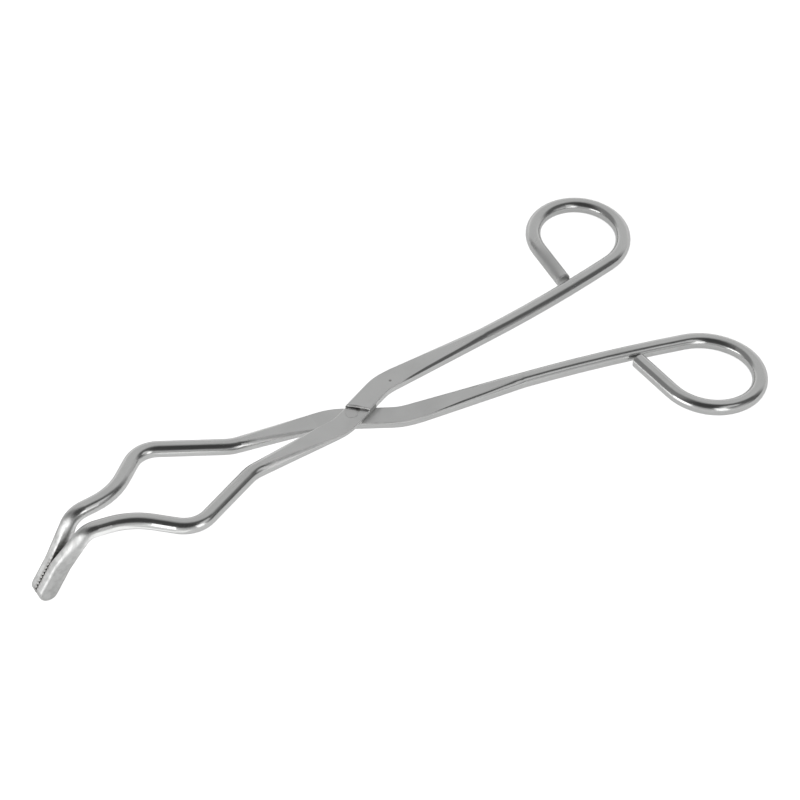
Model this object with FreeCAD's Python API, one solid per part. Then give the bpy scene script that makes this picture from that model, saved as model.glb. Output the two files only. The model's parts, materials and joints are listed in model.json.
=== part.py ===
"""Crucible tongs: two bent round-bar halves crossing at one flush rivet.

Each half is one bar: a finger loop bent outwards, a bowed shank, a forged flat at the
crossing, a bowed jaw and a flattened, serrated tip bent downwards. The lower half is
the upper one turned over, with its tip bent the other way.

Every shape is made in the crossing frame: rivet axis on Z, loops towards +X, the
contact plane of the two forged flats at Z = 0. The last step sets the tongs down on
their tips and the far ends of their loops.
"""
import FreeCAD, Part
import math
import os

V = FreeCAD.Vector

# Round bar
rod_d = 4.8

# Forged crossing
flat_width = 6.8
shank_flat_thick = 2.5
lap_thick = 1.6
lap_gap = 0.10
edge_chamfer = 0.30
crossing_angle = 25.5
crossing_offset = 1.3

# Rivet
rivet_d = 2.8
rivet_head_d = 3.8
rivet_head_depth = 0.5
rivet_turn_clearance = 0.04
rivet_seat_clearance = 0.02

# Step from the shank flat down to the lap
step_from_rivet = 2.05
step_angle = 230.0
step_edge_round = 0.5

# Shank
shank_elbow_x = 13.9
shank_elbow_radius = 18.0
shank_angle = 7.0
shank_flat_run = 3.0
shank_taper_length = 34.5
shank_bow_radius = 536.0
shank_bow_length = 54.7

# Finger loop: three arcs and a straight end that butts on the shank
loop_arc1_radius = 18.2
loop_arc1_turn = 53.5
loop_arc2_radius = 13.9
loop_arc2_turn = 101.5
loop_arc3_radius = 15.7
loop_arc3_turn = 97.0
loop_end_gap = 0.3
loop_end_chamfer = 0.4

# Bowed jaw
jaw_elbow_x = 5.0
jaw_elbow_radius = 18.0
jaw_angle = 5.0
jaw_flat_run = 2.2
jaw_taper_length = 24.5
jaw_bend1_radius = 12.3
jaw_bend1_turn = 20.5
jaw_flare_length = 19.4
jaw_bend2_radius = 8.7
jaw_bend2_turn = 65.5
jaw_return_length = 6.9
jaw_bend3_radius = 21.6
jaw_bend3_turn = 33.3
jaw_end_length = 4.0

# Tip, bent down and flattened
tip_bend_radius = 5.5
tip_bend_angle = 62.5
tip_taper_length = 11.3
blade_length = 12.4
blade_width = 6.0
blade_thick = 3.3
blade_dome = 0.25
blade_inner_chamfer = 0.30
blade_outer_round = 0.90
tips_gap = 0.20
serration_pitch = 1.2
serration_depth = 0.30
serration_length = 11.0

rod_r = rod_d / 2.0
blade_end_radius = blade_width / 2.0
UP = V(0, 0, 1)


def plan(angle):
    """Unit vector in the plan at an angle in degrees from +X."""
    return V(math.cos(math.radians(angle)), math.sin(math.radians(angle)), 0)


class Track:
    """A centreline in the plan, made of tangent lines and arcs."""

    def __init__(self, start, heading):
        self.pos = start
        self.heading = heading
        self.edges = []

    def line(self, length):
        end = self.pos + plan(self.heading) * length
        self.edges.append(Part.LineSegment(self.pos, end).toShape())
        self.pos = end
        return self

    def turn(self, radius, angle):
        """Arc to the left for a positive angle, to the right for a negative one."""
        side = 90.0 if angle > 0 else -90.0
        centre = self.pos + plan(self.heading + side) * radius
        middle = centre + plan(self.heading - side + angle / 2.0) * radius
        end = centre + plan(self.heading - side + angle) * radius
        self.edges.append(Part.Arc(self.pos, middle, end).toShape())
        self.pos = end
        self.heading += angle
        return self

    def wire(self):
        return Part.Wire(self.edges)

    def far_x(self):
        """Largest X that the centreline reaches."""
        return self.wire().optimalBoundingBox(False, False).XMax


def closed_face_wire(points, arcs):
    """Closed wire through points; arcs maps the index of a side to its middle point."""
    edges = []
    for i, p in enumerate(points):
        q = points[(i + 1) % len(points)]
        if i in arcs:
            edges.append(Part.Arc(p, arcs[i], q).toShape())
        else:
            edges.append(Part.LineSegment(p, q).toShape())
    return Part.Wire(edges)


def bar_section(centre, heading, z_low, z_high, width):
    """Upright rectangle across the bar with its four corners taken off, eight edges."""
    side = plan(heading + 90)
    c = edge_chamfer
    half = width / 2.0

    def at(s, z):
        return centre + side * s + UP * z

    points = [
        at(-half + c, z_low),
        at(half - c, z_low),
        at(half, z_low + c),
        at(half, z_high - c),
        at(half - c, z_high),
        at(-half + c, z_high),
        at(-half, z_high - c),
        at(-half, z_low + c),
    ]
    return closed_face_wire(points, {})


def rod_section(centre, heading):
    """The round bar's outline, split into eight arcs that answer bar_section's edges."""
    side = plan(heading + 90)
    facet = 6.0
    corner = 24.0
    stops = [-90 - facet, -90 + facet, -facet - corner, facet + corner]
    stops += [90 - facet, 90 + facet, 180 - facet - corner, 180 + facet + corner]

    def at(angle):
        a = math.radians(angle)
        return centre + side * (rod_r * math.cos(a)) + UP * (rod_r * math.sin(a))

    arcs = {}
    for i, a in enumerate(stops):
        b = stops[(i + 1) % 8]
        if b < a:
            b += 360
        arcs[i] = at((a + b) / 2.0)
    return closed_face_wire([at(a) for a in stops], arcs)


def sweep_round(track_wire, start, direction):
    """The round bar along a tangent centreline."""
    circle = Part.Wire([Part.Circle(start, direction, rod_r).toShape()])
    return track_wire.makePipeShell([circle], True, False)


def crossing_track():
    """Centreline of the forged flat, from its jaw end to its shank end."""
    slope = math.tan(math.radians(crossing_angle))
    shank_elbow = V(shank_elbow_x, (shank_elbow_x - crossing_offset) * slope, 0)
    jaw_elbow = V(-jaw_elbow_x, (-jaw_elbow_x - crossing_offset) * slope, 0)
    shank_turn = crossing_angle - shank_angle
    jaw_turn = crossing_angle - jaw_angle
    shank_tangent = shank_elbow_radius * math.tan(math.radians(shank_turn / 2.0))
    jaw_tangent = jaw_elbow_radius * math.tan(math.radians(jaw_turn / 2.0))
    start = jaw_elbow - plan(jaw_angle) * (jaw_tangent + jaw_flat_run)
    track = Track(start, jaw_angle)
    track.line(jaw_flat_run)
    track.turn(jaw_elbow_radius, jaw_turn)
    track.line((shank_elbow - jaw_elbow).Length - shank_tangent - jaw_tangent)
    track.turn(shank_elbow_radius, -shank_turn)
    track.line(shank_flat_run)
    return start, track


def shank_keep():
    """Prism over the shank's side of the step, with the step's rounded upper edge."""
    toward_jaw = plan(step_angle)
    reach = shank_elbow_x + shank_elbow_radius + shank_flat_run
    along = plan(step_angle + 90) * reach
    nose = toward_jaw * -step_from_rivet
    far = toward_jaw * -reach
    wire = closed_face_wire([nose + along, nose - along, nose - along + far, nose + along + far], {})
    top = UP * (lap_gap / 2.0 + shank_flat_thick)
    prism = Part.Face(wire).extrude(top)
    rim = [e for e in prism.Edges if (e.CenterOfMass - nose - top).Length < 1e-6]
    return prism.makeFillet(step_edge_round, rim)


def forged_flat():
    """The lap, the thicker flat on the shank's side and the track they follow."""
    low = lap_gap / 2.0
    start, track = crossing_track()
    spine = track.wire()
    lap = spine.makePipeShell(
        [bar_section(start, jaw_angle, low, low + lap_thick, flat_width)], True, False
    )
    thick = spine.makePipeShell(
        [bar_section(start, jaw_angle, low, low + shank_flat_thick, flat_width)], True, False
    )
    return start, track, lap.fuse(thick.common(shank_keep()))


def loop_track(start, heading):
    """Centreline of the bowed shank and the loop, up to its butted end."""
    track = Track(start, heading)
    track.turn(shank_bow_radius, math.degrees(shank_bow_length / shank_bow_radius))
    track.turn(loop_arc1_radius, loop_arc1_turn)
    track.turn(loop_arc2_radius, loop_arc2_turn)
    track.turn(loop_arc3_radius, loop_arc3_turn)
    bow_centre = start + plan(heading + 90) * shank_bow_radius
    to_shank = shank_bow_radius - (track.pos - bow_centre).Length
    track.line(abs(to_shank) - rod_r - loop_end_gap)
    return track


def shank_and_loop(start, heading):
    """Taper back to round bar, then the bowed shank and the loop."""
    low = lap_gap / 2.0
    round_at = start + plan(heading) * shank_taper_length
    taper = Part.makeLoft(
        [
            bar_section(start, heading, low, low + shank_flat_thick, flat_width),
            rod_section(round_at, heading),
        ],
        True,
        True,
    )
    track = loop_track(round_at, heading)
    loop = sweep_round(track.wire(), round_at, plan(heading))
    end_rim = [e for e in loop.Edges if (e.CenterOfMass - track.pos).Length < 1e-3]
    return taper, loop.makeChamfer(loop_end_chamfer, end_rim), track.far_x()


def jaw(start, down):
    """Taper to round, the bow and the bend down; gives the bar's end and its direction."""
    low = lap_gap / 2.0
    outward = 180.0 + jaw_angle
    round_at = start + plan(outward) * jaw_taper_length
    taper = Part.makeLoft(
        [
            bar_section(start, outward, low, low + lap_thick, flat_width),
            rod_section(round_at, outward),
        ],
        True,
        True,
    )
    track = Track(round_at, outward)
    track.turn(jaw_bend1_radius, jaw_bend1_turn)
    track.line(jaw_flare_length)
    track.turn(jaw_bend2_radius, -jaw_bend2_turn)
    track.line(jaw_return_length)
    track.turn(jaw_bend3_radius, jaw_bend3_turn)
    track.line(jaw_end_length)
    ahead = plan(track.heading)
    bend = math.radians(tip_bend_angle)

    def on_bend(a):
        return track.pos + (ahead * math.sin(a) + UP * (down * (1 - math.cos(a)))) * tip_bend_radius

    root = on_bend(bend)
    track.edges.append(Part.Arc(track.pos, on_bend(bend / 2.0), root).toShape())
    direction = ahead * math.cos(bend) + UP * (down * math.sin(bend))
    return taper, sweep_round(track.wire(), round_at, plan(outward)), root, direction


def blade_frame(root, down):
    """Blade start, its direction in the jaw's upright plane and its width direction."""
    bend = math.radians(tip_bend_angle)
    along = V(-math.cos(bend), 0, down * math.sin(bend))
    across = along.cross(V(0, 1, 0))
    start = root + along * tip_taper_length
    start.y = -(tips_gap + blade_thick) / 2.0
    return start, along, across


def blade_section(centre, across):
    """Flat inner side towards +Y with chamfers, domed outer side with rounded corners."""
    half_w = blade_width / 2.0
    half_t = blade_thick / 2.0
    shoulder = -half_t + blade_dome
    c = blade_inner_chamfer
    r = blade_outer_round
    middle = r * (1 - math.sqrt(0.5))

    def at(s, y):
        return centre + across * s + V(0, y, 0)

    points = [
        at(-half_w + c, half_t),
        at(half_w - c, half_t),
        at(half_w, half_t - c),
        at(half_w, shoulder + r),
        at(half_w - r, shoulder),
        at(-half_w + r, shoulder),
        at(-half_w, shoulder + r),
        at(-half_w, half_t - c),
    ]
    arcs = {
        3: at(half_w - middle, shoulder + middle),
        4: at(0, -half_t),
        5: at(-half_w + middle, shoulder + middle),
    }
    return closed_face_wire(points, arcs)


def round_root(centre, direction, across):
    """The bar's round end in eight arcs that answer blade_section's edges."""
    inward = V(0, 1, 0) - direction * direction.y
    inward.normalize()
    side = direction.cross(inward)
    if side.dot(across) < 0:
        side = side * -1

    def at(angle):
        a = math.radians(angle)
        return centre + inward * (rod_r * math.cos(a)) + side * (rod_r * math.sin(a))

    stops = [-50, 50, 65, 105, 145, 215, 255, 295]
    arcs = {}
    for i, a in enumerate(stops):
        b = stops[(i + 1) % 8]
        if b < a:
            b += 360
        arcs[i] = at((a + b) / 2.0)
    return closed_face_wire([at(a) for a in stops], arcs)


def blade_end(end_centre, along, across):
    """The blade's rounded end: its section turned half round about its middle."""
    section = Part.Face(blade_section(end_centre, across))
    half = Part.Face(
        closed_face_wire(
            [
                end_centre - V(0, blade_thick, 0),
                end_centre - V(0, blade_thick, 0) + across * blade_width,
                end_centre + V(0, blade_thick, 0) + across * blade_width,
                end_centre + V(0, blade_thick, 0),
            ],
            {},
        )
    )
    return section.common(half).revolve(end_centre, V(0, 1, 0), 180)


def tip(root, direction, down):
    """Taper to the flat blade, its rounded end and serrated inner face; gives the end's centre."""
    start, along, across = blade_frame(root, down)
    taper = Part.makeLoft(
        [round_root(root, direction, across), blade_section(start, across)], True, True
    )
    straight = blade_length - blade_end_radius
    end_centre = start + along * straight
    blade = Part.Face(blade_section(start, across)).extrude(along * straight)
    blade = blade.fuse(blade_end(end_centre, along, across))
    return taper, blade.cut(serrations(start, along, across)), end_centre


def serrations(start, along, across):
    """V grooves across the blade's inner face."""
    face = start + V(0, blade_thick / 2.0, 0)
    reach = across * blade_width
    count = int(serration_length / serration_pitch)
    grooves = []
    for i in range(count):
        at = face + along * (blade_length - serration_pitch * (i + 1.0))
        half_v = along * (serration_pitch * 0.42)
        mouth = V(0, serration_depth * 0.2, 0)
        root = at - V(0, serration_depth, 0)
        points = [at - half_v + mouth - reach, at + half_v + mouth - reach, root - reach]
        groove = Part.Face(closed_face_wire(points, {})).extrude(reach * 2.0)
        grooves.append(groove)
    return Part.makeCompound(grooves)


def rivet_solid(grow):
    """Rivet with flush cone heads; grow is a clearance added all round."""
    end = lap_gap / 2.0 + lap_thick
    r = rivet_d / 2.0 + grow
    head_r = rivet_head_d / 2.0 + grow
    neck = end - rivet_head_depth
    points = [V(0, 0, -end), V(head_r, 0, -end), V(r, 0, -neck)]
    points += [V(r, 0, neck), V(head_r, 0, end), V(0, 0, end)]
    return Part.Face(closed_face_wire(points, {})).revolve(V(0, 0, 0), UP, 360)


class Half:
    """One half in the crossing frame; down is -1 or +1, the way its tip bends in Z."""

    def __init__(self, down, rivet_clearance):
        start, track, flat = forged_flat()
        shank_taper, loop, self.loop_far_x = shank_and_loop(track.pos, track.heading)
        jaw_taper, bow, root, direction = jaw(start, down)
        tip_taper, blade, self.tip_centre = tip(root, direction, down)
        bar = flat.fuse([shank_taper, loop, jaw_taper, bow, tip_taper, blade])
        self.shape = bar.removeSplitter().cut(rivet_solid(rivet_clearance))


def rest_placement(half):
    """Set the tips' rounded ends and the loops' far ends on one level plane."""
    run = half.loop_far_x - half.tip_centre.x
    drop = -half.tip_centre.z
    tilt = math.atan2(drop, run) + math.asin((blade_end_radius - rod_r) / math.hypot(run, drop))
    turn = FreeCAD.Rotation(V(0, 1, 0), math.degrees(tilt))
    tip_low = turn.multVec(V(half.tip_centre.x, 0, half.tip_centre.z))
    loop_low = turn.multVec(V(half.loop_far_x, 0, 0))
    middle = (tip_low.x - blade_end_radius + loop_low.x + rod_r) / 2.0
    return FreeCAD.Placement(V(-middle, 0, blade_end_radius - tip_low.z), turn)


upper = Half(-1, rivet_turn_clearance)
lower = Half(1, rivet_seat_clearance)
stand = rest_placement(upper)
turned_over = FreeCAD.Placement(V(0, 0, 0), FreeCAD.Rotation(V(1, 0, 0), 180))
upper.shape.Placement = stand
lower.shape.Placement = stand.multiply(turned_over)
rivet = rivet_solid(0.0)
rivet.Placement = stand

os.makedirs("parts", exist_ok=True)
upper.shape.exportStep("parts/upper_half.step")
lower.shape.exportStep("parts/lower_half.step")
rivet.exportStep("parts/pivot_rivet.step")
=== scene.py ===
"""Laboratory tongs: steel finishes, bench, room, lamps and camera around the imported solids.

Lengths are in metres in the row frame unless a name says mm. The materials work in the
crossing frame, in millimetres: the rivet's axis is Z and the closed tongs lie along X.

Numbers in a tuple whose name ends in noise are that noise's scale, detail and roughness, or
the first two. The pair in one that ends in edge is where a mask is weakest and strongest.
"""
import json
import logging
import math
from dataclasses import dataclass, field
from enum import Enum
from typing import Any, Dict, List, Sequence, Tuple

import bmesh
import bpy
from mathutils import Matrix, Vector

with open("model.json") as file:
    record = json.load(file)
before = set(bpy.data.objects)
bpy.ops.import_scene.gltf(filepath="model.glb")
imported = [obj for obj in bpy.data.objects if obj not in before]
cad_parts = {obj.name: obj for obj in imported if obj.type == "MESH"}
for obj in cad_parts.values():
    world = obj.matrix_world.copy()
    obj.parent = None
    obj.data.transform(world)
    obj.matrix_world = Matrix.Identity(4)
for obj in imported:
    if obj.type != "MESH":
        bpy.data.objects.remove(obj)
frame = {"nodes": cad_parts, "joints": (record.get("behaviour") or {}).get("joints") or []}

LOG = logging.getLogger("tongs")
MM = 0.001
ORIGIN = (0.0, 0.0, 0.0)
# Nearly all of a noise lies between these two values.
NOISE_REACH = (0.3, 0.7)

Colour = Tuple[float, float, float]
Triple = Tuple[float, float, float]
Pair = Tuple[float, float]


class Grain(Enum):
    """Which way the finishing lines run over the forged flats, in degrees from +X."""

    UPPER = 25.5
    LOWER = -25.5


class SocketKind(Enum):
    """Kinds of socket that the shared node groups have."""

    VALUE = "NodeSocketFloat"
    VECTOR = "NodeSocketVector"


@dataclass(frozen=True)
class Port:
    """One named input or output of a shared node group."""

    name: str
    kind: SocketKind = SocketKind.VALUE
    default: Any = 0.0


class NodeCanvas:
    """Adds nodes and links to one node tree with short calls."""

    def __init__(self, tree: bpy.types.NodeTree) -> None:
        """Keep the tree that the nodes go into.

        Args:
            tree: A material's, a world's or a group's node tree.
        """
        self.tree = tree

    def add(self, kind: str, **settings: Any) -> bpy.types.Node:
        """Add a node.

        Args:
            kind: The node's Blender type.
            **settings: Attributes to set on the new node.

        Returns:
            The new node.
        """
        node = self.tree.nodes.new(kind)
        for name, value in settings.items():
            setattr(node, name, value)
        return node

    def link(self, source: bpy.types.NodeSocket, target: bpy.types.NodeSocket) -> None:
        """Join an output socket to an input socket."""
        self.tree.links.new(source, target)

    def feed(self, value: Any, target: bpy.types.NodeSocket) -> None:
        """Give an input either a link or a plain number.

        Args:
            value: An output socket, or the number or tuple to set.
            target: The input socket.
        """
        if isinstance(value, bpy.types.NodeSocket):
            self.link(value, target)
        else:
            target.default_value = value

    def math(self, operation: str, *values: Any, clamp: bool = False) -> bpy.types.NodeSocket:
        """Add a Math node.

        Args:
            operation: The node's operation.
            *values: Numbers or sockets for its inputs.
            clamp: True to keep the result between 0 and 1.

        Returns:
            The result's socket.
        """
        node = self.add("ShaderNodeMath", operation=operation, use_clamp=clamp)
        for value, target in zip(values, node.inputs):
            self.feed(value, target)
        return node.outputs[0]

    def vector_math(self, operation: str, *values: Any) -> bpy.types.Node:
        """Add a Vector Math node.

        Args:
            operation: The node's operation.
            *values: Triples or sockets for its inputs.

        Returns:
            The node, whose result is in outputs "Vector" or "Value".
        """
        node = self.add("ShaderNodeVectorMath", operation=operation)
        for value, target in zip(values, node.inputs):
            self.feed(value, target)
        return node

    def split(self, point: bpy.types.NodeSocket) -> Any:
        """Split a point into its three numbers.

        Args:
            point: The point's socket.

        Returns:
            The numbers' sockets, by "X", "Y" and "Z".
        """
        node = self.add("ShaderNodeSeparateXYZ")
        self.link(point, node.inputs[0])
        return node.outputs

    def mapping(
        self, point: bpy.types.NodeSocket, way: str = "POINT", **values: Triple
    ) -> bpy.types.NodeSocket:
        """Move, turn and stretch a point.

        Args:
            point: The point's socket.
            way: The Mapping node's type.
            **values: Its Location, Rotation and Scale, where they are set.

        Returns:
            The new point's socket.
        """
        node = self.add("ShaderNodeMapping", vector_type=way)
        for name, value in values.items():
            node.inputs[name].default_value = value
        self.link(point, node.inputs["Vector"])
        return node.outputs[0]

    def ramp(
        self, value: Any, low: Any, high: Any, out_low: float = 0.0, out_high: float = 1.0
    ) -> bpy.types.NodeSocket:
        """Map a value smoothly from one range to another, held at the ends.

        Args:
            value: The value's socket.
            low: Where the result is out_low, as a number or socket.
            high: Where the result is out_high, as a number or socket.
            out_low: The result at low.
            out_high: The result at high.

        Returns:
            The mapped value's socket.
        """
        node = self.add("ShaderNodeMapRange", interpolation_type="SMOOTHSTEP")
        for number, target in zip((value, low, high, out_low, out_high), node.inputs):
            self.feed(number, target)
        return node.outputs[0]

    def mix(self, factor: Any, first: Any, second: Any) -> bpy.types.NodeSocket:
        """Mix two numbers.

        Args:
            factor: 0 for the first, 1 for the second.
            first: A number or socket.
            second: A number or socket.

        Returns:
            The mixed number's socket.
        """
        node = self.add("ShaderNodeMix", data_type="FLOAT")
        for value, index in ((factor, 0), (first, 2), (second, 3)):
            self.feed(value, node.inputs[index])
        return node.outputs[0]

    def mix_colour(self, factor: Any, first: Any, second: Any) -> bpy.types.NodeSocket:
        """Mix two colours.

        Args:
            factor: 0 for the first, 1 for the second.
            first: A colour's three numbers, or a socket.
            second: A colour's three numbers, or a socket.

        Returns:
            The mixed colour's socket.
        """
        node = self.add("ShaderNodeMix", data_type="RGBA")
        self.feed(factor, node.inputs[0])
        for value, index in ((first, 6), (second, 7)):
            plain = not isinstance(value, bpy.types.NodeSocket)
            self.feed((*value, 1.0) if plain else value, node.inputs[index])
        return node.outputs[2]

    def noise(
        self, place: Any, scale: float, detail: float = 3.0, rough: float = 0.55
    ) -> bpy.types.NodeSocket:
        """Add a noise texture.

        Args:
            place: Socket with the point to read the noise at.
            scale: Bumps in one unit of the point.
            detail: Layers of finer noise.
            rough: Strength of the finer layers.

        Returns:
            Socket with the noise's value, about 0.5 in the mean.
        """
        node = self.add("ShaderNodeTexNoise")
        self.link(place, node.inputs["Vector"])
        node.inputs["Scale"].default_value = scale
        node.inputs["Detail"].default_value = detail
        node.inputs["Roughness"].default_value = rough
        return node.outputs[0]

    def ragged(
        self, place: Any, noise: Pair, least: float, most: float = 1.0
    ) -> bpy.types.NodeSocket:
        """Give a strength that goes up and down over the surface.

        Args:
            place: Socket with the point to read the noise at.
            noise: The noise's scale and detail.
            least: The strength where the noise is low.
            most: The strength where the noise is high.

        Returns:
            The strength's socket.
        """
        return self.ramp(self.noise(place, *noise), *NOISE_REACH, least, most)


class EffectGroup:
    """A shader node group that several finishes share, built once."""

    name: str = "effect"
    inputs: Sequence[Port] = ()
    outputs: Sequence[Port] = (Port("Mask"),)

    def tree(self) -> bpy.types.NodeTree:
        """Find the group's node tree, building it the first time.

        Returns:
            The node tree.
        """
        known = bpy.data.node_groups.get(self.name)
        if known:
            return known
        tree = bpy.data.node_groups.new(self.name, "ShaderNodeTree")
        for port in self.inputs:
            socket = tree.interface.new_socket(
                port.name, in_out="INPUT", socket_type=port.kind.value
            )
            socket.default_value = port.default
        for port in self.outputs:
            tree.interface.new_socket(port.name, in_out="OUTPUT", socket_type=port.kind.value)
        canvas = NodeCanvas(tree)
        given = canvas.add("NodeGroupInput").outputs
        self.fill(canvas, given, canvas.add("NodeGroupOutput").inputs)
        return tree

    def fill(self, canvas: NodeCanvas, given: Any, result: Any) -> None:
        """Build the effect's nodes.

        Args:
            canvas: Where the nodes go.
            given: The group's inputs, by name.
            result: The group's outputs, by name.
        """
        raise NotImplementedError

    def place(self, canvas: NodeCanvas, **values: Any) -> bpy.types.Node:
        """Put the group into a material.

        Args:
            canvas: The material's canvas.
            **values: Numbers or sockets for its inputs, with _ for a space.

        Returns:
            The group node.
        """
        node = canvas.add("ShaderNodeGroup", node_tree=self.tree())
        for name, value in values.items():
            canvas.feed(value, node.inputs[name.replace("_", " ")])
        return node

    def mask(self, canvas: NodeCanvas, **values: Any) -> bpy.types.NodeSocket:
        """Put the group into a material for its mask alone.

        Args:
            canvas: The material's canvas.
            **values: Numbers or sockets for its inputs, with _ for a space.

        Returns:
            The mask's socket.
        """
        return self.place(canvas, **values).outputs["Mask"]


class DrawnLines(EffectGroup):
    """Fine lines left by drawing, grinding or polishing: noise stretched along one way."""

    FINE_NOISE = (1.0, 4.0, 0.65)
    COARSE_NOISE = (0.27, 2.0, 0.5)
    FINE_SHARE = 0.65
    COARSE_SHARE = 0.35
    MEAN = 0.5
    PATCH_NOISE = (0.22, 2.0)
    PATCH_EDGE = (0.35, 0.65)
    LINE_EDGE = (0.5, 0.72)

    name = "drawn lines"
    inputs = (
        Port("Place", SocketKind.VECTOR, ORIGIN),
        Port("Lines per mm", SocketKind.VECTOR, (0.1, 0.1, 10.0)),
        Port("Break up", SocketKind.VALUE, 0.5),
    )
    outputs = (Port("Height"), Port("Mask"))

    def fill(self, canvas: NodeCanvas, given: Any, result: Any) -> None:
        """Build fine and coarse lines, broken up by slow noise.

        Args:
            canvas: Where the nodes go.
            given: The group's inputs, by name.
            result: The group's outputs, by name.
        """
        scaled = canvas.vector_math("MULTIPLY", given["Place"], given["Lines per mm"])
        fine = canvas.noise(scaled.outputs["Vector"], *self.FINE_NOISE)
        coarse = canvas.noise(scaled.outputs["Vector"], *self.COARSE_NOISE)
        patches = canvas.ramp(canvas.noise(given["Place"], *self.PATCH_NOISE), *self.PATCH_EDGE)
        amount = canvas.mix(given["Break up"], 1.0, patches)
        lines = canvas.math(
            "ADD",
            canvas.math("MULTIPLY", fine, self.FINE_SHARE),
            canvas.math("MULTIPLY", coarse, self.COARSE_SHARE),
        )
        height = canvas.math("MULTIPLY", canvas.math("SUBTRACT", lines, self.MEAN), amount)
        mask = canvas.math("MULTIPLY", canvas.ramp(fine, *self.LINE_EDGE), amount)
        canvas.link(height, result["Height"])
        canvas.link(mask, result["Mask"])


class HairScratches(EffectGroup):
    """Sparse hair-thin scratches in all directions, from use on the bench."""

    KEEP_NOISE = (0.35, 2.0)
    KEEP_EDGE = (0.5, 0.62)
    FAMILIES = (
        {"Rotation": (0.24, 0.2, 0.6), "Scale": (1.0, 0.16, 1.0)},
        {"Rotation": (-0.36, 0.2, -0.9), "Scale": (0.2, 1.0, 0.9)},
    )

    name = "hair scratches"
    inputs = (
        Port("Place", SocketKind.VECTOR, ORIGIN),
        Port("Cells per mm", SocketKind.VALUE, 0.2),
        Port("Width", SocketKind.VALUE, 0.012),
    )

    def fill(self, canvas: NodeCanvas, given: Any, result: Any) -> None:
        """Build crossing families of long thin cells and keep parts of their edges.

        Args:
            canvas: Where the nodes go.
            given: The group's inputs, by name.
            result: The group's outputs, by name.
        """
        keep = canvas.ramp(canvas.noise(given["Place"], *self.KEEP_NOISE), *self.KEEP_EDGE)
        scratches: Any = 0.0
        for family in self.FAMILIES:
            cells = canvas.add("ShaderNodeTexVoronoi", feature="DISTANCE_TO_EDGE")
            canvas.link(canvas.mapping(given["Place"], **family), cells.inputs["Vector"])
            canvas.link(given["Cells per mm"], cells.inputs["Scale"])
            thin = canvas.math("DIVIDE", cells.outputs["Distance"], given["Width"])
            lines = canvas.math("SUBTRACT", 1.0, thin, clamp=True)
            scratches = canvas.math("MAXIMUM", scratches, lines)
        canvas.link(canvas.math("MULTIPLY", scratches, keep), result["Mask"])


class HandledHaze(EffectGroup):
    """Cloudy patches where handling and wiping have dulled the polish."""

    CLOUD_NOISE = (1.0, 5.0, 0.6)
    CLOUD_EDGE = (0.38, 0.68)
    SWELL_NOISE = (2.4, 1.0, 0.4)

    name = "handled haze"
    inputs = (
        Port("Place", SocketKind.VECTOR, ORIGIN),
        Port("Patches per mm", SocketKind.VALUE, 0.06),
    )
    outputs = (Port("Mask"), Port("Swell"))

    def fill(self, canvas: NodeCanvas, given: Any, result: Any) -> None:
        """Build a slow cloud for the polish and a faint swell for the surface.

        Args:
            canvas: Where the nodes go.
            given: The group's inputs, by name.
            result: The group's outputs, by name.
        """
        scaled = canvas.vector_math("SCALE", given["Place"])
        canvas.link(given["Patches per mm"], scaled.inputs["Scale"])
        cloud = canvas.noise(scaled.outputs["Vector"], *self.CLOUD_NOISE)
        swell = canvas.noise(scaled.outputs["Vector"], *self.SWELL_NOISE)
        canvas.link(canvas.ramp(cloud, *self.CLOUD_EDGE), result["Mask"])
        canvas.link(swell, result["Swell"])


class ForgePits(EffectGroup):
    """Small round pits that the forging left here and there in the flats."""

    LEFT_OUT = 0.62
    LEAST_SIZE = 0.4

    name = "forge pits"
    inputs = (
        Port("Place", SocketKind.VECTOR, ORIGIN),
        Port("Pits per mm", SocketKind.VALUE, 0.3),
        Port("Radius", SocketKind.VALUE, 0.06),
    )

    def fill(self, canvas: NodeCanvas, given: Any, result: Any) -> None:
        """Keep only some of the cells, each with a pit at its centre.

        Args:
            canvas: Where the nodes go.
            given: The group's inputs, by name.
            result: The group's outputs, by name.
        """
        cells = canvas.add("ShaderNodeTexVoronoi", feature="F1")
        canvas.link(given["Place"], cells.inputs["Vector"])
        canvas.link(given["Pits per mm"], cells.inputs["Scale"])
        dice = canvas.add("ShaderNodeSeparateColor")
        canvas.link(cells.outputs["Color"], dice.inputs[0])
        chosen = canvas.math("GREATER_THAN", dice.outputs[0], self.LEFT_OUT)
        share = canvas.math("ADD", self.LEAST_SIZE, dice.outputs[1])
        size = canvas.math("MULTIPLY", given["Radius"], share)
        reach = canvas.math("DIVIDE", cells.outputs["Distance"], size)
        depth = canvas.math("SUBTRACT", 1.0, reach, clamp=True)
        canvas.link(canvas.math("MULTIPLY", depth, chosen), result["Mask"])


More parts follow.
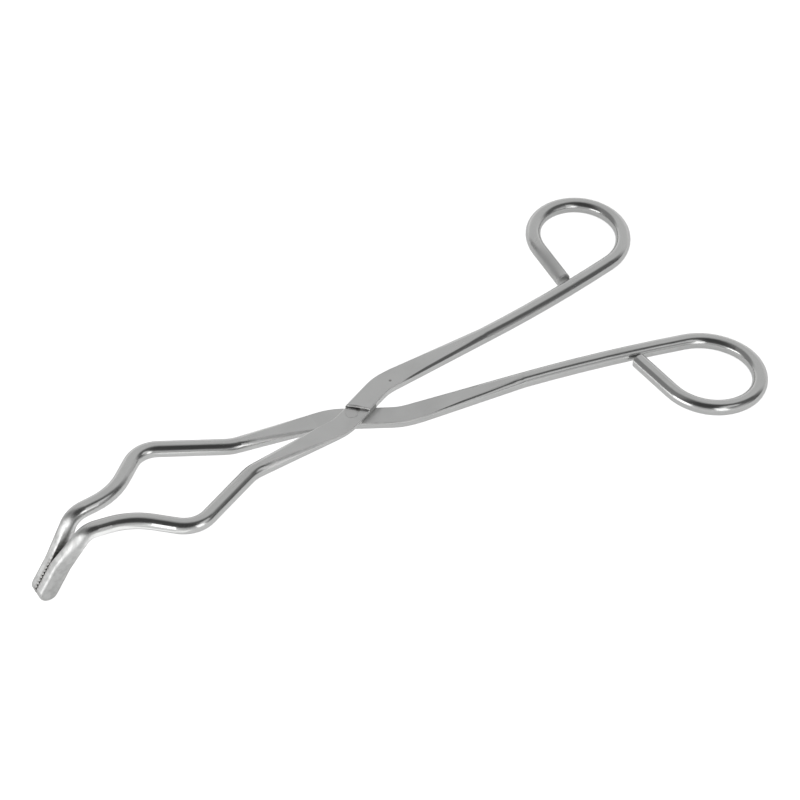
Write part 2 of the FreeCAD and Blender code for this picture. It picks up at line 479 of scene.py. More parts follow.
class LoneMark(EffectGroup):
    """One long or round mark at a given place, with a soft ragged rim."""

    RIM_NOISE = (3.0, 2.0)
    RIM_RANGE = (0.85, 1.15)
    RIM_EDGE = (1.0, 0.35)

    name = "lone mark"
    inputs = (
        Port("Place", SocketKind.VECTOR, ORIGIN),
        Port("Centre", SocketKind.VECTOR, ORIGIN),
        Port("Along", SocketKind.VECTOR, (1.0, 0.0, 0.0)),
        Port("Half length", SocketKind.VALUE, 0.3),
        Port("Half width", SocketKind.VALUE, 0.3),
    )

    def fill(self, canvas: NodeCanvas, given: Any, result: Any) -> None:
        """Fade with the distance from the centre, measured along and across the mark.

        Args:
            canvas: Where the nodes go.
            given: The group's inputs, by name.
            result: The group's outputs, by name.
        """
        away = canvas.vector_math("SUBTRACT", given["Place"], given["Centre"]).outputs["Vector"]
        along = canvas.vector_math("DOT_PRODUCT", away, given["Along"]).outputs["Value"]
        reach = canvas.vector_math("LENGTH", away).outputs["Value"]
        aside = canvas.math(
            "SUBTRACT", canvas.math("POWER", reach, 2.0), canvas.math("POWER", along, 2.0)
        )
        long_part = canvas.math("DIVIDE", along, given["Half length"])
        long_share = canvas.math("POWER", long_part, 2.0)
        wide_share = canvas.math("DIVIDE", aside, canvas.math("POWER", given["Half width"], 2.0))
        both = canvas.math("ADD", long_share, canvas.math("MAXIMUM", wide_share, 0.0))
        rim = canvas.ragged(given["Place"], self.RIM_NOISE, *self.RIM_RANGE)
        share = canvas.math("MULTIPLY", canvas.math("SQRT", both), rim)
        canvas.link(canvas.ramp(share, *self.RIM_EDGE), result["Mask"])


class WornEdgesAndHighlight(EffectGroup):
    """Rubbed edges, brightened as a painted highlight: the chamfers between the forged flats and
    their sides.
    """

    FLAT_EDGE = (0.975, 0.90)
    SIDE_EDGE = (0.25, 0.45)
    END_EDGE = (-1.0, 1.0)
    RUB_NOISE = (0.8, 3.0)
    LEAST_RUB = 0.75

    name = "worn edges and highlight"
    inputs = (
        Port("Place", SocketKind.VECTOR, ORIGIN),
        Port("Upright share", SocketKind.VALUE, 1.0),
        Port("From x", SocketKind.VALUE, -32.0),
        Port("To x", SocketKind.VALUE, 21.0),
        Port("Fade", SocketKind.VALUE, 3.0),
    )

    def fill(self, canvas: NodeCanvas, given: Any, result: Any) -> None:
        """Keep what slopes between flat and side, in one stretch of X.

        Args:
            canvas: Where the nodes go.
            given: The group's inputs, by name.
            result: The group's outputs, by name.
        """
        slope = canvas.math(
            "MULTIPLY",
            canvas.ramp(given["Upright share"], *self.FLAT_EDGE),
            canvas.ramp(given["Upright share"], *self.SIDE_EDGE),
        )
        x = canvas.split(given["Place"])["X"]
        ends: List[bpy.types.NodeSocket] = []
        for inside in (
            canvas.math("SUBTRACT", x, given["From x"]),
            canvas.math("SUBTRACT", given["To x"], x),
        ):
            inside = canvas.math("DIVIDE", inside, given["Fade"])
            ends.append(canvas.ramp(inside, *self.END_EDGE))
        stretch = canvas.math("MULTIPLY", *ends)
        rub = canvas.ragged(given["Place"], self.RUB_NOISE, self.LEAST_RUB)
        mask = canvas.math("MULTIPLY", canvas.math("MULTIPLY", slope, stretch), rub)
        canvas.link(mask, result["Mask"])


class GripDirtAndShade(EffectGroup):
    """Dark notches along the mouth, where the grooves of the gripping faces come out: dirt with
    painted shade.
    """

    MOUTH_EDGE = (1.0, 0.3)
    GROOVE_EDGE = (-0.6, 0.6)
    BETWEEN_GROOVES = 0.45
    DIRT_AND_SHADE_NOISE = (1.3, 2.0)
    LEAST_DIRT_AND_SHADE = 0.7

    name = "grip dirt and shade"
    inputs = (
        Port("Place", SocketKind.VECTOR, ORIGIN),
        Port("Along", SocketKind.VECTOR, (-0.462, 0.0, -0.887)),
        Port("Pitch", SocketKind.VALUE, 1.2),
        Port("Half width", SocketKind.VALUE, 1.2),
    )

    def fill(self, canvas: NodeCanvas, given: Any, result: Any) -> None:
        """Keep what lies near the mouth's plane, stronger at each groove.

        Args:
            canvas: Where the nodes go.
            given: The group's inputs, by name.
            result: The group's outputs, by name.
        """
        beside = canvas.math("ABSOLUTE", canvas.split(given["Place"])["Y"])
        aside = canvas.math("DIVIDE", beside, given["Half width"])
        along = canvas.vector_math("DOT_PRODUCT", given["Place"], given["Along"]).outputs["Value"]
        turns = canvas.math("DIVIDE", canvas.math("MULTIPLY", along, math.tau), given["Pitch"])
        groove = canvas.ramp(
            canvas.math("SINE", turns), *self.GROOVE_EDGE, self.BETWEEN_GROOVES, 1.0
        )
        dirt_and_shade = canvas.ragged(given["Place"], self.DIRT_AND_SHADE_NOISE, self.LEAST_DIRT_AND_SHADE)
        both = canvas.math("MULTIPLY", groove, dirt_and_shade)
        mask = canvas.math("MULTIPLY", canvas.ramp(aside, *self.MOUTH_EDGE), both)
        canvas.link(mask, result["Mask"])


class CreviceResidueAndShade(EffectGroup):
    """Dark residue that polishing leaves, with painted shade, in seams, grooves and inner
    corners.
    """

    SAMPLES = 8
    RIM_NOISE = (1.6, 3.0)
    RIM_RANGE = (0.6, 1.1)
    SHUT_EDGE = (0.35, 0.85)

    name = "crevice residue and shade"
    inputs = (
        Port("Place", SocketKind.VECTOR, ORIGIN),
        Port("Reach", SocketKind.VALUE, 0.0008),
    )

    def fill(self, canvas: NodeCanvas, given: Any, result: Any) -> None:
        """Read how closed in the surface is and break the edge of the residue and painted shade
        with noise.

        Args:
            canvas: Where the nodes go.
            given: The group's inputs, by name.
            result: The group's outputs, by name.
        """
        closed = canvas.add("ShaderNodeAmbientOcclusion", samples=self.SAMPLES)
        canvas.link(given["Reach"], closed.inputs["Distance"])
        shut = canvas.math("SUBTRACT", 1.0, closed.outputs["AO"])
        rim = canvas.ragged(given["Place"], self.RIM_NOISE, *self.RIM_RANGE)
        mask = canvas.ramp(canvas.math("MULTIPLY", shut, rim), *self.SHUT_EDGE)
        canvas.link(mask, result["Mask"])


@dataclass(frozen=True)
class CrossingFrame:
    """Place and tilt of the rivet's axis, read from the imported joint."""

    pivot: Triple
    tilt: float

    @classmethod
    def from_joint(cls, joint: Dict[str, Any]) -> "CrossingFrame":
        """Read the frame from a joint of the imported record.

        Args:
            joint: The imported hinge.

        Returns:
            The crossing frame.
        """
        x, _, z = joint["axis"]
        return cls(tuple(joint["pos_m"]), math.atan2(x, z))

    def coordinates(self, canvas: NodeCanvas) -> bpy.types.NodeSocket:
        """Give a surface point in the crossing frame.

        Args:
            canvas: The material's canvas.

        Returns:
            Socket with the point in millimetres.
        """
        return canvas.mapping(
            canvas.add("ShaderNodeTexCoord").outputs["Object"],
            way="TEXTURE",
            Location=self.pivot,
            Rotation=(0.0, self.tilt, 0.0),
            Scale=(MM, MM, MM),
        )

    def upright_share(self, canvas: NodeCanvas) -> bpy.types.NodeSocket:
        """Give how squarely the surface faces along the rivet's axis.

        Args:
            canvas: The material's canvas.

        Returns:
            Socket with 1 on the flats and 0 on upright sides.
        """
        normal = canvas.add("ShaderNodeTexCoord").outputs["Normal"]
        axis = (math.sin(self.tilt), 0.0, math.cos(self.tilt))
        facing = canvas.vector_math("DOT_PRODUCT", normal, axis).outputs["Value"]
        return canvas.math("ABSOLUTE", facing)


@dataclass(frozen=True)
class Mark:
    """Place and size of one lone mark, in millimetres in the crossing frame."""

    centre: Triple
    along: Triple
    half_length: float
    half_width: float

    def join(self, canvas: NodeCanvas, place: bpy.types.NodeSocket, others: Any) -> Any:
        """Put the mark into a material, over the masks that are there.

        Args:
            canvas: The material's canvas.
            place: Surface point in the crossing frame.
            others: Number or socket with the mask so far.

        Returns:
            Socket with the stronger of the two masks.
        """
        mask = LoneMark().mask(
            canvas,
            Place=place,
            Centre=self.centre,
            Along=self.along,
            Half_length=self.half_length,
            Half_width=self.half_width,
        )
        return canvas.math("MAXIMUM", others, mask)


# Centre, direction along the mark, half length and half width.
FORGE_PIT = Mark((16.8, 5.53, 2.55), (1.0, 0.0, 0.0), 0.62, 0.55)
# Painted shade where the upper half's flat steps down at the crease.
CREASE_PAINTED_SHADE = Mark((1.95, 0.85, 2.1), (0.75, -0.66, 0.0), 2.6, 1.25)
DULL_END = Mark((91.05, 27.5, 0.0), (0.09, 0.996, 0.0), 13.5, 7.5)
RIVET_TINT = (0.64, 0.64, 0.635)


@dataclass(frozen=True)
class Dulling:
    """Roughness that each kind of wear adds to the steel."""

    haze: float = 0.05
    scratches: float = 0.12
    flat_lines: float = 0.05
    residue_and_shade: float = 0.25
    dull_marks: float = 0.38
    worn_edges: float = 0.4
    blade_patches: float = 0.16


@dataclass(frozen=True)
class Relief:
    """Heights of lines, marks and dents, in units of unit_m."""

    bar_lines: float = 0.35
    scratches: float = 0.5
    pits: float = 12.0
    swell: float = 14.0
    blade_dents: float = 6.0
    dent_noise: Pair = (0.7, 2.0)
    strength: float = 0.5
    unit_m: float = 0.000012


@dataclass(frozen=True)
class SteelMasks:
    """What one steel material reads: the surface point, its zones and what lies on them."""

    place: bpy.types.NodeSocket
    flat: bpy.types.NodeSocket
    blade: bpy.types.NodeSocket
    patchy: bpy.types.NodeSocket
    haze: bpy.types.Node
    scratched: bpy.types.NodeSocket
    bar_lines: bpy.types.Node
    flat_lines: bpy.types.Node
    residue_and_shade: bpy.types.NodeSocket
    pits_and_crease_shade: bpy.types.NodeSocket
    dirt_and_shade: bpy.types.NodeSocket
    dull: Any
    edges: bpy.types.NodeSocket


@dataclass(frozen=True)
class SteelFinish:
    """Stainless steel: polished round bar, satin forged flats and smoked, dented blades.

    Haze from handling, hair scratches, forge pits, residue and painted shade in seams, worn edges
    with a painted highlight, dirt and painted shade along the mouth and the piece's own lone
    marks, one of them painted shade at the crease, lie over them.
    """

    name: str
    grain: Grain
    tint: Colour = (0.665, 0.668, 0.662)
    hazed_share: float = 0.95
    smoked_share: float = 0.77
    least_smoke: float = 0.4
    # Colour of residue, dirt and painted shade.
    residue_and_shade: Colour = (0.20, 0.19, 0.18)
    residue_and_shade_strength: float = 0.8
    # Colour of the rubbed edges, bright as a painted highlight.
    rubbed_and_highlight: Colour = (0.95, 0.95, 0.94)
    bar_roughness: float = 0.155
    flat_roughness: float = 0.34
    blade_roughness: float = 0.38
    dulling: Dulling = Dulling()
    relief: Relief = Relief()
    flat_reach_mm: float = 52.0
    flat_fade_mm: float = 16.0
    level_edge: Pair = (0.975, 0.995)
    blade_from_mm: float = -86.0
    blade_fade_mm: float = 8.0
    patch_noise: Pair = (0.5, 3.0)
    patch_edge: Pair = (0.32, 0.68)
    bar_lines_per_mm: Triple = (0.10, 0.10, 9.0)
    flat_lines_per_mm: Triple = (0.25, 11.0, 1.0)
    flat_break_up: float = 0.3
    bar_scratches: float = 0.2
    edge_radius: float = 0.00012
    edge_samples: int = 6
    dark_marks: Sequence[Mark] = ()
    dull_marks: Sequence[Mark] = ()

    def build(self, crossing: CrossingFrame) -> bpy.types.Material:
        """Build the material.

        Args:
            crossing: The crossing frame of the tongs.

        Returns:
            The finished material.
        """
        material = bpy.data.materials.new(self.name)
        material.use_nodes = True
        canvas = NodeCanvas(material.node_tree)
        material.node_tree.nodes.clear()
        shader = canvas.add("ShaderNodeBsdfPrincipled")
        canvas.link(shader.outputs[0], canvas.add("ShaderNodeOutputMaterial").inputs["Surface"])
        masks = self.cover_zones(canvas, crossing)
        shader.inputs["Metallic"].default_value = 1.0
        canvas.link(self.colour(canvas, masks), shader.inputs["Base Color"])
        canvas.link(self.roughness(canvas, masks), shader.inputs["Roughness"])
        canvas.link(self.normal(canvas, masks), shader.inputs["Normal"])
        return material

    def cover_zones(self, canvas: NodeCanvas, crossing: CrossingFrame) -> SteelMasks:
        """Find the zones of the surface and spread the marks and the wear over them.

        Args:
            canvas: The material's canvas.
            crossing: The crossing frame of the tongs.

        Returns:
            The masks.
        """
        place = crossing.coordinates(canvas)
        upright = crossing.upright_share(canvas)
        flat, blade = self.zones(canvas, place, upright)
        hairs = HairScratches().mask(canvas, Place=place)
        along_flat = (0.0, 0.0, -math.radians(self.grain.value))
        pits_and_crease_shade = canvas.math("MULTIPLY", ForgePits().mask(canvas, Place=place), flat)
        # The forge pit and, on the upper half, the crease's painted shade.
        for mark in self.dark_marks:
            pits_and_crease_shade = mark.join(canvas, place, pits_and_crease_shade)
        dull: Any = 0.0
        for mark in self.dull_marks:
            dull = mark.join(canvas, place, dull)
        return SteelMasks(
            place=place,
            flat=flat,
            blade=blade,
            patchy=canvas.ramp(canvas.noise(place, *self.patch_noise), *self.patch_edge),
            haze=HandledHaze().place(canvas, Place=place),
            scratched=canvas.math("MULTIPLY", hairs, canvas.mix(flat, self.bar_scratches, 1.0)),
            bar_lines=DrawnLines().place(
                canvas, Place=place, Lines_per_mm=self.bar_lines_per_mm
            ),
            flat_lines=DrawnLines().place(
                canvas,
                Place=canvas.mapping(place, Rotation=along_flat),
                Lines_per_mm=self.flat_lines_per_mm,
                Break_up=self.flat_break_up,
            ),
            # Painted shade from ambient occlusion, with real residue in the seams.
            residue_and_shade=CreviceResidueAndShade().mask(canvas, Place=place),
            pits_and_crease_shade=pits_and_crease_shade,
            # Dirt with painted shade along the mouth.
            dirt_and_shade=canvas.math("MULTIPLY", GripDirtAndShade().mask(canvas, Place=place), blade),
            dull=dull,
            # Rubbed edges with a painted highlight.
            edges=WornEdgesAndHighlight().mask(canvas, Place=place, Upright_share=upright),
        )

    def zones(
        self, canvas: NodeCanvas, place: bpy.types.NodeSocket, upright: bpy.types.NodeSocket
    ) -> Tuple[bpy.types.NodeSocket, bpy.types.NodeSocket]:
        """Find the forged flats and the tips' blades.

        Args:
            canvas: The material's canvas.
            place: Surface point in the crossing frame.
            upright: How squarely the surface faces along the rivet's axis.

        Returns:
            Sockets with the flats' mask and the blades' mask.
        """
        x = canvas.split(place)["X"]
        reach = canvas.math("ABSOLUTE", x)
        near = canvas.ramp(reach, self.flat_reach_mm, self.flat_reach_mm - self.flat_fade_mm)
        level = canvas.ramp(upright, *self.level_edge)
        blade = canvas.ramp(x, self.blade_from_mm, self.blade_from_mm - self.blade_fade_mm)
        return canvas.math("MULTIPLY", near, level), blade

    def colour(self, canvas: NodeCanvas, masks: SteelMasks) -> bpy.types.NodeSocket:
        """Colour the steel: darker where hazed, smoked, pitted or dirty, with painted shade in
        seams, grooves and the crease, bright where rubbed, with a painted highlight on the edges.

        Args:
            canvas: The material's canvas.
            masks: The material's masks.

        Returns:
            The colour's socket.
        """
        hazed = tuple(channel * self.hazed_share for channel in self.tint)
        smoked = tuple(channel * self.smoked_share for channel in self.tint)
        smoke = canvas.math(
            "MULTIPLY", masks.blade, canvas.mix(masks.patchy, self.least_smoke, 1.0)
        )
        # Painted shade: seams, the mouth's grooves and the crease darken towards the residue
        # colour, with real pits and dirt.
        marked = canvas.math("MAXIMUM", masks.pits_and_crease_shade, masks.dirt_and_shade)
        dirt_and_shade = canvas.math("MAXIMUM", masks.residue_and_shade, marked)
        colour = canvas.mix_colour(masks.haze.outputs["Mask"], self.tint, hazed)
        colour = canvas.mix_colour(smoke, colour, smoked)
        dirt_and_shade = canvas.math("MULTIPLY", dirt_and_shade, self.residue_and_shade_strength)
        colour = canvas.mix_colour(dirt_and_shade, colour, self.residue_and_shade)
        # Painted highlight on the chamfers, with their rubbing.
        return canvas.mix_colour(masks.edges, colour, self.rubbed_and_highlight)

    def roughness(self, canvas: NodeCanvas, masks: SteelMasks) -> bpy.types.NodeSocket:
        """Set the polish of each zone and dull it where it is worn.

        Args:
            canvas: The material's canvas.
            masks: The material's masks.

        Returns:
            The roughness's socket.
        """
        rough = canvas.mix(masks.flat, self.bar_roughness, self.flat_roughness)
        dulled_blade = self.blade_roughness + self.dulling.blade_patches
        blade = canvas.mix(masks.patchy, self.blade_roughness, dulled_blade)
        rough = canvas.mix(masks.blade, rough, blade)
        for mask, amount in (
            (masks.haze.outputs["Mask"], self.dulling.haze),
            (masks.scratched, self.dulling.scratches),
            (masks.flat_lines.outputs["Mask"], self.dulling.flat_lines),
            (masks.residue_and_shade, self.dulling.residue_and_shade),
            (masks.dull, self.dulling.dull_marks),
            (masks.edges, self.dulling.worn_edges),
        ):
            added = canvas.math("MULTIPLY", mask, amount)
            rough = canvas.math("ADD", rough, added, clamp=True)
        return rough

    def normal(self, canvas: NodeCanvas, masks: SteelMasks) -> bpy.types.NodeSocket:
        """Round the edges a little and raise the lines, marks and dents on them.

        Args:
            canvas: The material's canvas.
            masks: The material's masks.

        Returns:
            The normal's socket.
        """
        relief = self.relief
        height = canvas.mix(
            masks.flat,
            canvas.math("MULTIPLY", masks.bar_lines.outputs["Height"], relief.bar_lines),
            masks.flat_lines.outputs["Height"],
        )
        for operation, mask, amount in (
            ("SUBTRACT", masks.scratched, relief.scratches),
            ("SUBTRACT", masks.pits_and_crease_shade, relief.pits),
            ("ADD", masks.haze.outputs["Swell"], relief.swell),
        ):
            height = canvas.math(operation, height, canvas.math("MULTIPLY", mask, amount))
        dents = canvas.math(
            "MULTIPLY",
            canvas.noise(masks.place, *relief.dent_noise),
            canvas.mix(masks.blade, 0.0, relief.blade_dents),
        )
        bump = canvas.add("ShaderNodeBump")
        bump.inputs["Strength"].default_value = relief.strength
        bump.inputs["Distance"].default_value = relief.unit_m
        canvas.link(canvas.math("ADD", height, dents), bump.inputs["Height"])
        bevel = canvas.add("ShaderNodeBevel", samples=self.edge_samples)
        bevel.inputs["Radius"].default_value = self.edge_radius
        canvas.link(bevel.outputs[0], bump.inputs["Normal"])
        return bump.outputs[0]


@dataclass(frozen=True)
class BenchFinish:
    """Plain pale bench top: white to the eye, light grey where the steel mirrors it.

    One narrow strip of it, beside the jaws, is brighter in reflections only: a painted strip of
    light.
    """

    name: str = "pale_bench"
    colour: Colour = (0.86, 0.86, 0.86)
    speckle_noise: Pair = (900.0, 2.0)
    least_speckle: float = 0.985
    glow: Colour = (1.0, 1.0, 1.0)
    glow_seen: float = 0.80
    glow_mirrored: float = 0.34
    # A painted strip of light beside the jaws, seen only in reflections.
    light_pool_glow: float = 0.95
    light_pool_centre: Triple = (-0.0935, -0.066, 0.0)
    light_pool_half: Triple = (0.0085, 0.062, 1.0)
    light_pool_edge: Pair = (1.25, 0.75)
    roughness: float = 0.8

    def build(self) -> bpy.types.Material:
        """Build the material.

        Returns:
            The finished material.
        """
        material = bpy.data.materials.new(self.name)
        material.use_nodes = True
        canvas = NodeCanvas(material.node_tree)
        shader = material.node_tree.nodes["Principled BSDF"]
        point = canvas.add("ShaderNodeTexCoord").outputs["Object"]
        tone = canvas.vector_math("SCALE", self.colour)
        canvas.link(
            canvas.ragged(point, self.speckle_noise, self.least_speckle), tone.inputs["Scale"]
        )
        canvas.link(tone.outputs["Vector"], shader.inputs["Base Color"])
        shader.inputs["Roughness"].default_value = self.roughness
        shader.inputs["Emission Color"].default_value = (*self.glow, 1.0)
        seen = canvas.add("ShaderNodeLightPath").outputs["Is Camera Ray"]
        # Painted strip of light beside the jaws, for reflections only.
        away = canvas.vector_math("SUBTRACT", point, self.light_pool_centre).outputs["Vector"]
        share = canvas.vector_math("DIVIDE", away, self.light_pool_half).outputs["Vector"]
        reach = canvas.vector_math("LENGTH", share).outputs["Value"]
        light_pool = canvas.ramp(reach, *self.light_pool_edge)
        mirrored = canvas.mix(light_pool, self.glow_mirrored, self.light_pool_glow)
        canvas.link(
            canvas.mix(seen, mirrored, self.glow_seen), shader.inputs["Emission Strength"]
        )
        return material


@dataclass
class SteelPiece:
    """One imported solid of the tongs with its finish."""

    node: str
    finish: SteelFinish
    crease_degrees: float = 32.0

    def dress(self, crossing: CrossingFrame) -> bpy.types.Object:
        """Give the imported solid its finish.

        Args:
            crossing: The crossing frame of the tongs.

        Returns:
            The dressed object.
        """
        solid = frame["nodes"][self.node]
        cover(solid, self.finish.build(crossing))
        soften(solid, self.crease_degrees)
        return solid


@dataclass
class BentHalf(SteelPiece):
    """One half of the tongs: a bent bar with loop, forged flat, bowed jaw and blade."""


@dataclass
class PivotRivet(SteelPiece):
    """The rivet, ground flush with the flats after it was set."""


def cover(piece: bpy.types.Object, material: bpy.types.Material) -> None:
    """Put one material in every material slot of a piece.

    Args:
        piece: The piece to cover.
        material: Its material.
    """
    if not piece.material_slots:
        piece.data.materials.append(material)
    for slot in piece.material_slots:
        slot.material = material


def soften(piece: bpy.types.Object, crease_degrees: float) -> None:
    """Shade a piece smoothly except across its creases.

    Args:
        piece: The piece to shade.
        crease_degrees: Least angle between faces that stays sharp.
    """
    bpy.context.view_layer.objects.active = piece
    piece.select_set(True)
    bpy.ops.object.shade_smooth_by_angle(angle=math.radians(crease_degrees))
    piece.select_set(False)


class SkyPatch(EffectGroup):
    """Soft-edged patch of the room, seen in one direction from the tongs."""

    name = "sky patch"
    inputs = (
        Port("Direction", SocketKind.VECTOR, (0.0, 0.0, 1.0)),
        Port("Azimuth", SocketKind.VALUE, 0.0),
        Port("Half width", SocketKind.VALUE, 0.5),
        Port("Side edge", SocketKind.VALUE, 0.1),
        Port("Low", SocketKind.VALUE, 0.0),
        Port("High", SocketKind.VALUE, 0.5),
        Port("Level edge", SocketKind.VALUE, 0.1),
    )

    def fill(self, canvas: NodeCanvas, given: Any, result: Any) -> None:
        """Turn the direction to face the patch and fade at its sides, foot and top.

        Args:
            canvas: Where the nodes go.
            given: The group's inputs, by name.
            result: The group's outputs, by name.
        """
        turned = canvas.add("ShaderNodeVectorRotate", rotation_type="Z_AXIS")
        canvas.link(given["Direction"], turned.inputs["Vector"])
        canvas.link(canvas.math("MULTIPLY", given["Azimuth"], -1.0), turned.inputs["Angle"])
        parts = canvas.split(turned.outputs["Vector"])
        ahead = canvas.math("MULTIPLY", parts["Y"], -1.0)
        aside = canvas.math("ABSOLUTE", canvas.math("ARCTAN2", parts["X"], ahead))
        level = canvas.math("ARCSINE", parts["Z"])
        across = self.fade(canvas, aside, given["Half width"], given["Side edge"], -1.0)
        above = self.fade(canvas, level, given["Low"], given["Level edge"], 1.0)
        below = self.fade(canvas, level, given["High"], given["Level edge"], -1.0)
        both = canvas.math("MULTIPLY", above, below)
        canvas.link(canvas.math("MULTIPLY", across, both), result["Mask"])

    @staticmethod
    def fade(
        canvas: NodeCanvas, value: Any, border: Any, edge: Any, way: float
    ) -> bpy.types.NodeSocket:
        """Fade over a border.

        Args:
            canvas: The group's canvas.
            value: The angle to test.
            border: Where the fade is half done.
            edge: Angle from half done to fully done.
            way: 1 to be inside above the border, -1 to be inside below it.

        Returns:
            Socket with 1 inside and 0 outside.
        """
        past = canvas.math("MULTIPLY", canvas.math("SUBTRACT", value, border), way)
        return canvas.ramp(past, canvas.math("MULTIPLY", edge, -1.0), edge)


@dataclass(frozen=True)
class RoomPatch:
    """What stands in one part of the room: a wall, a cupboard, a screen or the ceiling.

    Angles are in degrees; azimuth 0 is on the -Y side of the tongs and 90 on the +X side.
    """

    label: str
    azimuth: float
    half_width: float
    side_edge: float
    low: float
    high: float
    level_edge: float
    brightness: float

    def paint(self, canvas: NodeCanvas, direction: Any, behind: Any) -> bpy.types.NodeSocket:
        """Put the patch over what is behind it.

        Args:
            canvas: The world's canvas.
            direction: Socket with the direction looked in.
            behind: Number or socket with the brightness so far.

        Returns:
            Socket with the brightness.
        """
        patch = SkyPatch().place(
            canvas,
            Direction=direction,
            Azimuth=math.radians(self.azimuth),
            Half_width=math.radians(self.half_width),
            Side_edge=math.radians(self.side_edge),
            Low=math.radians(self.low),
            High=math.radians(self.high),
            Level_edge=math.radians(self.level_edge),
        )
        patch.label = self.label
        return canvas.mix(patch.outputs["Mask"], behind, self.brightness)


# Azimuth, half width, side edge, low, high, level edge and brightness, from back to front.
ROOM = (
    RoomPatch("dark ceiling", 0.0, 200.0, 1.0, 76.0, 120.0, 14.0, 0.30),
    RoomPatch("dark room on the camera's side", -33.0, 110.0, 18.0, 22.0, 120.0, 12.0, 0.112),
    RoomPatch("dim wall at the left", -120.0, 34.0, 14.0, -30.0, 78.0, 10.0, 0.26),
    RoomPatch("dark screen behind the camera", -22.0, 50.0, 18.0, 32.0, 84.0, 10.0, 0.06),
    RoomPatch("dark cupboard at the right", 58.0, 17.0, 12.0, -30.0, 54.0, 10.0, 0.12),
    RoomPatch("white horizon on the far side", 155.0, 48.0, 22.0, -20.0, 14.0, 10.0, 0.85),
)


@dataclass(frozen=True)
class SoftBox:
    """Upright rectangular lamp that faces the tongs and that only reflections show."""

    name: str
    azimuth: float
    distance: float
    width: float
    foot: float
    top: float
    brightness: float
    aim_y: float = 0.0

    def hang(self) -> bpy.types.Object:
        """Build the lamp.

        Returns:
            The lamp object.
        """
        data = bpy.data.lights.new(self.name, "AREA")
        data.shape = "RECTANGLE"
        data.size = self.width
        data.size_y = self.top - self.foot
        data.energy = self.brightness * math.pi * data.size * data.size_y
        lamp = bpy.data.objects.new(self.name, data)
        bpy.context.scene.collection.objects.link(lamp)
        lamp.visible_camera = False
        azimuth = math.radians(self.azimuth)
        out = Vector((math.sin(azimuth), -math.cos(azimuth), 0.0))
        lamp.matrix_world = Matrix.LocRotScale(
            out * self.distance + Vector((0.0, self.aim_y, (self.foot + self.top) / 2.0)),
            (-out).to_track_quat("-Z", "Y"),
            None,
        )
        return lamp


# Azimuth, distance, width, foot, top and brightness.
SOFT_BOXES = (
    SoftBox("window_box", -90.0, 0.25, 0.21, 0.005, 0.14, 2.15, aim_y=-0.085),
    SoftBox("front_box", 7.0, 0.336, 0.12, 0.01, 0.23, 1.25),
    SoftBox("side_box", -90.0, 0.25, 0.09, 0.005, 0.07, 1.8, aim_y=0.065),
    SoftBox("upper_screen", 30.0, 0.30, 0.17, 0.15, 0.34, 0.6),
)


@dataclass
class Studio:
    """Pale bench in a room that is light on the far side and dark on the camera's side."""

    bench_half_side: float = 3.0
    bench_cells: int = 8
    bench_drop: float = 0.00002
    far_wall: float = 0.60
    air: Colour = (1.0, 1.0, 1.0)
    room: Sequence[RoomPatch] = ROOM
    boxes: Sequence[SoftBox] = SOFT_BOXES
    bench: BenchFinish = field(default_factory=BenchFinish)

    def lay_bench(self) -> bpy.types.Object:
        """Build the bench top.

        Returns:
            The bench object.
        """
        mesh = bpy.data.meshes.new("bench_top")
        shape = bmesh.new()
        cells = self.bench_cells
        bmesh.ops.create_grid(
            shape, x_segments=cells, y_segments=cells, size=self.bench_half_side
        )
        bmesh.ops.translate(shape, verts=shape.verts, vec=(0.0, 0.0, -self.bench_drop))
        shape.to_mesh(mesh)
        shape.free()
        bench = bpy.data.objects.new("bench_top", mesh)
        bpy.context.scene.collection.objects.link(bench)
        cover(bench, self.bench.build())
        return bench

    def light(self) -> bpy.types.World:
        """Build the room as soft patches on a light grey dome.

        Returns:
            The world.
        """
        world = bpy.data.worlds.new("soft_room")
        bpy.context.scene.world = world
        world.use_nodes = True
        canvas = NodeCanvas(world.node_tree)
        background = world.node_tree.nodes["Background"]
        direction = canvas.add("ShaderNodeTexCoord").outputs["Generated"]
        brightness: Any = self.far_wall
        for patch in self.room:
            brightness = patch.paint(canvas, direction, brightness)
        canvas.link(brightness, background.inputs["Strength"])
        background.inputs["Color"].default_value = (*self.air, 1.0)
        return world

    def hang_boxes(self) -> List[bpy.types.Object]:
        """Hang the soft boxes and give them back."""
        return [box.hang() for box in self.boxes]


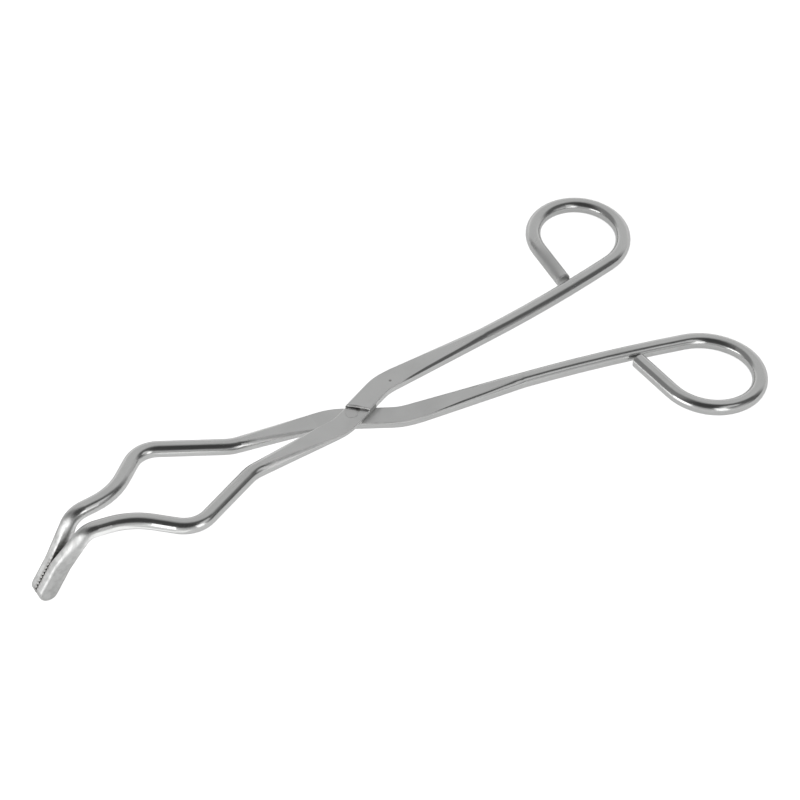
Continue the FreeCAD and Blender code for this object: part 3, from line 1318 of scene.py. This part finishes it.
@dataclass
class ViewPoint:
    """Camera at the photograph's viewing angle."""

    position: Triple = (-0.27003, -0.46020, 0.60606)
    right: Triple = (0.84925, -0.52787, -0.01145)
    back: Triple = (-0.34692, -0.57422, 0.74157)
    lens_mm: float = 120.731
    sensor_mm: float = 36.0
    nearest: float = 0.01
    farthest: float = 20.0

    def place(self) -> bpy.types.Object:
        """Build the camera and make it the scene's.

        Returns:
            The camera object.
        """
        data = bpy.data.cameras.new("viewpoint")
        data.lens = self.lens_mm
        data.sensor_width = self.sensor_mm
        data.clip_start = self.nearest
        data.clip_end = self.farthest
        camera = bpy.data.objects.new("viewpoint", data)
        bpy.context.scene.collection.objects.link(camera)
        back = Vector(self.back).normalized()
        right = Vector(self.right).normalized()
        turn = Matrix((right, back.cross(right), back)).transposed()
        camera.matrix_world = Matrix.Translation(self.position) @ turn.to_4x4()
        bpy.context.scene.camera = camera
        return camera


def main() -> None:
    """Dress the tongs, set the stage and report each piece."""
    logging.basicConfig(level=logging.INFO, format="%(name)s: %(message)s")
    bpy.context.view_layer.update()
    bpy.context.scene.view_settings.view_transform = "Standard"
    crossing = CrossingFrame.from_joint(frame["joints"][0])
    pieces = [
        BentHalf("lower_half", SteelFinish("lower_half_steel", Grain.LOWER)),
        BentHalf(
            "upper_half",
            SteelFinish(
                "upper_half_steel",
                Grain.UPPER,
                # The crease mark is painted shade.
                dark_marks=(FORGE_PIT, CREASE_PAINTED_SHADE),
                dull_marks=(DULL_END,),
            ),
        ),
        PivotRivet("pivot_rivet", SteelFinish("rivet_steel", Grain.UPPER, tint=RIVET_TINT)),
    ]
    for piece in pieces:
        dressed = piece.dress(crossing)
        faces = len(dressed.data.polygons)
        LOG.info("%s: %d faces, finish %s", dressed.name, faces, piece.finish.name)
    studio = Studio()
    LOG.info("%s laid, %s lit", studio.lay_bench().name, studio.light().name)
    for lamp in studio.hang_boxes():
        LOG.info("%s hung, %.2f W", lamp.name, lamp.data.energy)
    LOG.info("camera %s placed", ViewPoint().place().name)


if __name__ == "__main__":
    main()
